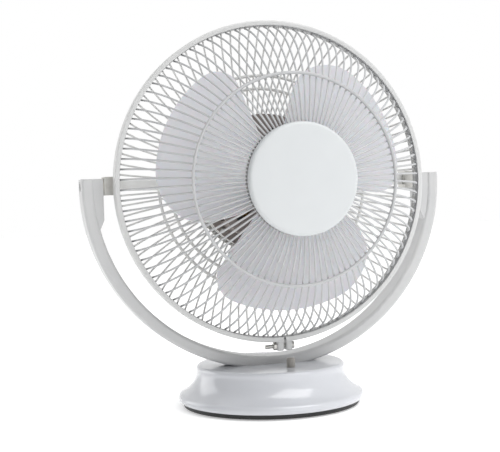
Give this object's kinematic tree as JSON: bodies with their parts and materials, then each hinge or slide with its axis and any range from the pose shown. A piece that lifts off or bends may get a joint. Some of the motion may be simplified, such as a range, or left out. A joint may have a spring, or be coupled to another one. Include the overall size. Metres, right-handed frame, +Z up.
{
  "type": "desk fan",
  "caption": "Tilting desk fan: round weighted base with a push button, U-shaped yoke, domed wire guard with a centre cap and broad petal blades.",
  "frame": {"origin": "centre of the base's footprint, on the surface that the fan stands on", "axes": "+Z up; the fan blows towards -Y; the tilt axis is parallel to X"},
  "size_m": [0.295, 0.1755, 0.302],
  "materials": {
    "guard_coating": "white powder-coated steel wire",
    "trim_paint": "off-white painted steel channel",
    "zinc_fasteners": "zinc-plated steel",
    "cap_plastic": "satin white moulded ABS",
    "plated_sheet": "zinc-plated sheet steel",
    "strap_paint": "white painted steel strap",
    "nylon": "natural nylon",
    "motor_paint": "dark painted pressed steel",
    "laminations": "stacked electrical steel",
    "copper_wire": "enamelled copper winding",
    "sintered_bronze": "oil-filled sintered bronze",
    "rear_cover_plastic": "white moulded plastic",
    "shaft_steel": "ground steel",
    "blade_plastic": "light grey moulded polypropylene",
    "yoke_plastic": "white moulded plastic",
    "base_plastic": "glossy white moulded ABS",
    "plate_plastic": "black moulded plastic",
    "pad_rubber": "black rubber",
    "ballast_iron": "grey iron",
    "switch_plastic": "black switch-grade plastic",
    "button_plastic": "warm grey moulded plastic"
  },
  "bodies": {
    "base": {"yoke": "yoke_plastic", "yoke_screws": "zinc_fasteners", "yoke_clamp_plate": "plated_sheet", "base_shell": "base_plastic", "base_plate": "plate_plastic", "foot_pads": "pad_rubber", "base_plate_screws": "zinc_fasteners", "ballast_weight": "ballast_iron", "ballast_screws": "zinc_fasteners", "switch_body": "switch_plastic", "terminal_block": "switch_plastic", "cord_gland": "pad_rubber"},
    "power_button": {"power_button": "button_plastic"},
    "head": {"front_guard_wires": "guard_coating", "front_guard_rings": "guard_coating", "rear_guard_wires": "guard_coating", "rear_guard_rings": "guard_coating", "rear_guard_struts": "guard_coating", "trim_ring": "trim_paint", "clamp_screw": "zinc_fasteners", "clamp_nut": "zinc_fasteners", "front_cap": "cap_plastic", "cap_retainer": "plated_sheet", "cap_screws": "zinc_fasteners", "mounting_strap": "strap_paint", "pivot_blocks": "plated_sheet", "pivot_screws": "zinc_fasteners", "pivot_washers": "nylon", "motor_front_housing": "motor_paint", "motor_rear_housing": "motor_paint", "stator_core": "laminations", "stator_windings": "copper_wire", "motor_screws": "zinc_fasteners", "motor_nuts": "zinc_fasteners", "shaft_bushes": "sintered_bronze", "rear_guard_clamp": "plated_sheet", "rear_cover": "rear_cover_plastic", "rear_cover_screws": "zinc_fasteners"},
    "rotor": {"shaft": "shaft_steel", "motor_rotor": "laminations", "thrust_washers": "nylon", "drive_pin": "shaft_steel", "impeller": "blade_plastic", "impeller_nut": "zinc_fasteners"}
  },
  "joints": [
    {"name": "head_tilt", "type": "hinge", "parent": "base", "child": "head", "pos_m": [0, 0, 0.177], "axis": [1, 0, 0], "range_deg": [-90, 45]},
    {"name": "impeller_spin", "type": "hinge", "parent": "head", "child": "rotor", "pos_m": [0, -0.0475, 0.177], "axis": [0, -1, 0], "continuous": true},
    {"name": "button_press", "type": "slide", "parent": "base", "child": "power_button", "axis": [0, 0, -1], "range_m": [0, 0.002], "stiffness_N_per_m": 600}
  ]
}
